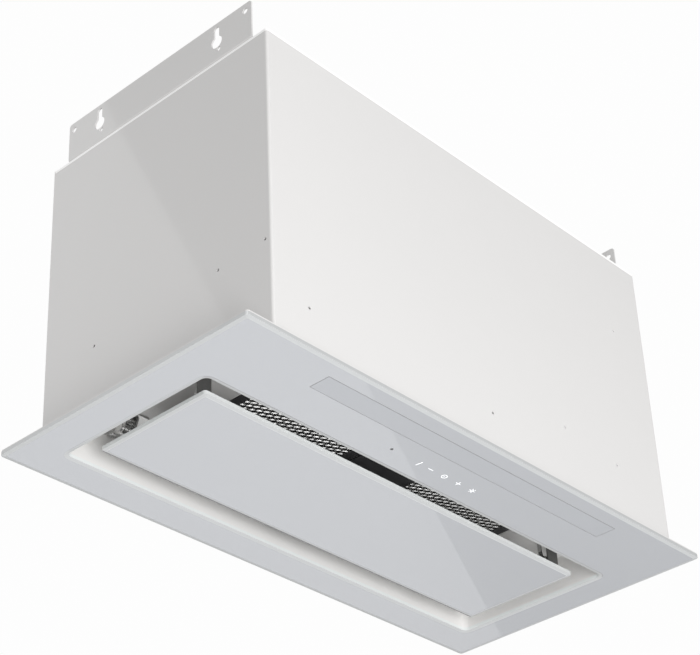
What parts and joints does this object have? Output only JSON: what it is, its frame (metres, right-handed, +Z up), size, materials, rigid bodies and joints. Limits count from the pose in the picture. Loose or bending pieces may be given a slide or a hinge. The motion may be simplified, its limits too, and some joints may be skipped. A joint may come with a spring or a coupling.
{
  "type": "built-in range hood",
  "caption": "White built-in range hood: a sheet-steel casing on a bevelled glass fascia, with a hinged glass suction panel over grease filters.",
  "frame": {"origin": "centre of the fascia glass, on its lower face", "axes": "+X along the hood to its right end, +Y to its back, +Z up to the duct collar"},
  "size_m": [0.598, 0.294, 0.3629],
  "materials": {
    "white_paint": "satin white powder coat",
    "white_glass": "back-painted white glass, polished",
    "zinc_steel": "zinc-coated sheet",
    "black_steel": "black paint",
    "spring_steel": "blackened spring steel",
    "screw_zinc": "bright zinc",
    "aluminium_mesh": "bright expanded aluminium",
    "aluminium_plain": "plain extruded and cast aluminium",
    "opal_plastic": "opal diffuser",
    "black_plastic": "moulded, satin",
    "grey_plastic": "moulded, satin",
    "dark_lens": "smoked lens",
    "circuit_board": "solder-mask green",
    "rubber": "soft black"
  },
  "bodies": {
    "casing": {"back_panel": "white_paint", "body_shell": "white_paint", "cable_gland": "black_plastic", "capacitor": "aluminium_plain", "casing_screws": "screw_zinc", "centre_cover": "black_steel", "control_box": "grey_plastic", "control_box_cover": "grey_plastic", "duct_collar": "black_plastic", "fascia_frame": "zinc_steel", "fascia_glass": "white_glass", "flap_pin": "screw_zinc", "grommets": "rubber", "hinge_pins": "screw_zinc", "hinge_screws": "screw_zinc", "lamp_board": "circuit_board", "lamp_diffuser": "opal_plastic", "lamp_driver": "grey_plastic", "lamp_profile": "aluminium_plain", "left_blower_hanger": "zinc_steel", "left_catch_spring": "spring_steel", "left_hanging_bracket": "white_paint", "left_hinge_bracket": "white_paint", "left_panel_stop": "spring_steel", "left_scroll_half": "black_plastic", "motor": "aluminium_plain", "motor_bracket": "zinc_steel", "outlet_adapter": "black_plastic", "power_board": "circuit_board", "recess_pan": "white_paint", "right_blower_hanger": "zinc_steel", "right_catch_spring": "spring_steel", "right_hanging_bracket": "white_paint", "right_hinge_bracket": "white_paint", "right_panel_stop": "spring_steel", "right_scroll_half": "black_plastic", "scroll_screws": "screw_zinc", "sensor_lens": "dark_lens", "top_plate": "zinc_steel", "touch_board": "circuit_board", "touch_housing": "black_plastic"},
    "suction_panel": {"panel_glass": "white_glass", "panel_backing": "zinc_steel", "left_hinge_arm": "zinc_steel", "right_hinge_arm": "zinc_steel", "catch_studs": "screw_zinc"},
    "left_filter": {"left_filter_frame": "black_steel", "left_filter_mesh": "aluminium_mesh", "left_filter_core": "aluminium_mesh", "left_filter_guard": "aluminium_mesh", "left_filter_spring": "spring_steel"},
    "right_filter": {"right_filter_frame": "black_steel", "right_filter_mesh": "aluminium_mesh", "right_filter_core": "aluminium_mesh", "right_filter_guard": "aluminium_mesh", "right_filter_spring": "spring_steel"},
    "wheel": {"impeller": "black_plastic", "motor_shaft": "screw_zinc"},
    "front_damper": {"front_flap": "black_plastic"},
    "rear_damper": {"rear_flap": "black_plastic"}
  },
  "joints": [
    {"name": "panel_hinge", "type": "hinge", "parent": "casing", "child": "suction_panel", "pos_m": [0, 0.077, 0.027], "axis": [1, 0, 0], "range_deg": [0, 85]},
    {"name": "left_filter_tilt", "type": "hinge", "parent": "casing", "child": "left_filter", "pos_m": [-0.105, 0.0853, 0.042], "axis": [1, 0, 0], "range_deg": [0, 12]},
    {"name": "right_filter_tilt", "type": "hinge", "parent": "casing", "child": "right_filter", "pos_m": [0.105, 0.0853, 0.042], "axis": [1, 0, 0], "range_deg": [0, 12]},
    {"name": "wheel_spin", "type": "hinge", "parent": "casing", "child": "wheel", "pos_m": [0, -0.03, 0.17], "axis": [1, 0, 0], "continuous": true},
    {"name": "front_flap_hinge", "type": "hinge", "parent": "casing", "child": "front_damper", "pos_m": [0, 0.045, 0.3242], "axis": [-1, 0, 0], "range_deg": [0, 80]},
    {"name": "rear_flap_hinge", "type": "hinge", "parent": "casing", "child": "rear_damper", "pos_m": [0, 0.045, 0.3242], "axis": [1, 0, 0], "range_deg": [0, 80]}
  ]
}
